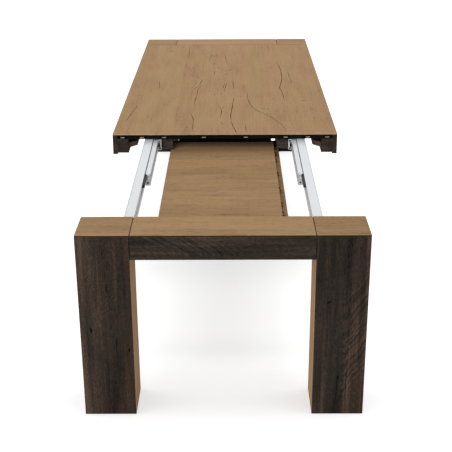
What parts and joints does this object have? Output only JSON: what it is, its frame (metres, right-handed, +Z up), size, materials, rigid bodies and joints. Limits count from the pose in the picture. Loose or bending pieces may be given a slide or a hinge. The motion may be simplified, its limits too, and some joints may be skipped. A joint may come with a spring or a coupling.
{
  "type": "extending dining table",
  "caption": "Extending dining table in light and dark oak, pulled open on telescopic aluminium rails, with spare leaves stored on a carrier under the top.",
  "frame": {"origin": "on the floor, at the middle of the opened table's footprint", "axes": "+Z up, +Y along the table from the portal that pulls out to the fixed one, +X to the right as seen from the near end"},
  "size_m": [1.07, 3.472, 0.75],
  "materials": {
    "oak_light": "aged oak, matt oil",
    "oak_dark": "smoked oak, matt oil",
    "core_wood": "planed softwood",
    "black_board": "black stain",
    "beech": "planed beech",
    "aluminium": "satin anodised",
    "cast_aluminium": "fine blasted",
    "steel": "zinc plated",
    "painted_steel": "black powder coat",
    "black_nylon": "moulded",
    "felt": "wool felt"
  },
  "bodies": {
    "table_body": {"apron_ledgers": "oak_dark", "far_crosspiece_core": "core_wood", "far_crosspiece_shell": "oak_dark", "far_crosspiece_top": "oak_light", "far_glides": "black_nylon", "far_left_leg_cap": "oak_light", "far_left_leg_inner_panel": "oak_light", "far_left_leg_shell": "oak_dark", "far_leg_blocks": "core_wood", "far_right_leg_cap": "oak_light", "far_right_leg_inner_panel": "oak_light", "far_right_leg_shell": "oak_dark", "left_apron_panel": "oak_dark", "left_apron_rail": "oak_dark", "left_fixed_rail": "aluminium", "left_slide_beam": "black_board", "main_top_core": "black_board", "main_top_lamella": "oak_light", "main_top_tongues": "beech", "right_apron_panel": "oak_dark", "right_apron_rail": "oak_dark", "right_fixed_rail": "aluminium", "right_slide_beam": "black_board", "top_battens": "core_wood"},
    "end_portal": {"end_plate_screws": "steel", "leaf_runners": "core_wood", "leaf_stop_board": "black_board", "leaf_straps": "painted_steel", "left_end_plate": "steel", "left_moving_rail": "aluminium", "near_crosspiece_core": "core_wood", "near_crosspiece_shell": "oak_dark", "near_crosspiece_top": "oak_light", "near_glides": "black_nylon", "near_left_leg_cap": "oak_light", "near_left_leg_inner_panel": "oak_light", "near_left_leg_shell": "oak_dark", "near_leg_blocks": "core_wood", "near_right_leg_cap": "oak_light", "near_right_leg_inner_panel": "oak_light", "near_right_leg_shell": "oak_dark", "portal_pegs": "black_nylon", "right_end_plate": "steel", "right_moving_rail": "aluminium", "runner_felts": "felt"},
    "left_middle_slide": {"left_end_block": "cast_aluminium", "left_end_glide": "black_nylon", "left_middle_rail": "aluminium", "left_rail_shoes": "black_nylon"},
    "right_middle_slide": {"right_end_block": "cast_aluminium", "right_end_glide": "black_nylon", "right_middle_rail": "aluminium", "right_rail_shoes": "black_nylon"},
    "upper_leaf": {"upper_leaf_board": "oak_light", "upper_leaf_pegs": "black_nylon", "upper_leaf_tongues": "beech"},
    "lower_leaf": {"leaf_pads": "felt", "lower_leaf_board": "oak_light", "lower_leaf_pegs": "black_nylon", "lower_leaf_tongues": "beech"}
  },
  "joints": [
    {"name": "portal_slide", "type": "slide", "parent": "table_body", "child": "end_portal", "axis": [0, -1, 0], "range_m": [-1.06, 0]},
    {"name": "left_rail_slide", "type": "slide", "parent": "table_body", "child": "left_middle_slide", "axis": [0, -1, 0], "range_m": [-0.636, 0]},
    {"name": "right_rail_slide", "type": "slide", "parent": "table_body", "child": "right_middle_slide", "axis": [0, -1, 0], "range_m": [-0.636, 0]},
    {"name": "upper_leaf_slide", "type": "slide", "parent": "end_portal", "child": "upper_leaf", "axis": [0, -1, 0], "range_m": [0, 0.1]},
    {"name": "lower_leaf_slide", "type": "slide", "parent": "end_portal", "child": "lower_leaf", "axis": [0, -1, 0], "range_m": [0, 0.1]}
  ],
  "couplings": [
    {"joint": "left_rail_slide", "follows": "portal_slide", "ratio": 0.6},
    {"joint": "right_rail_slide", "follows": "portal_slide", "ratio": 0.6}
  ]
}
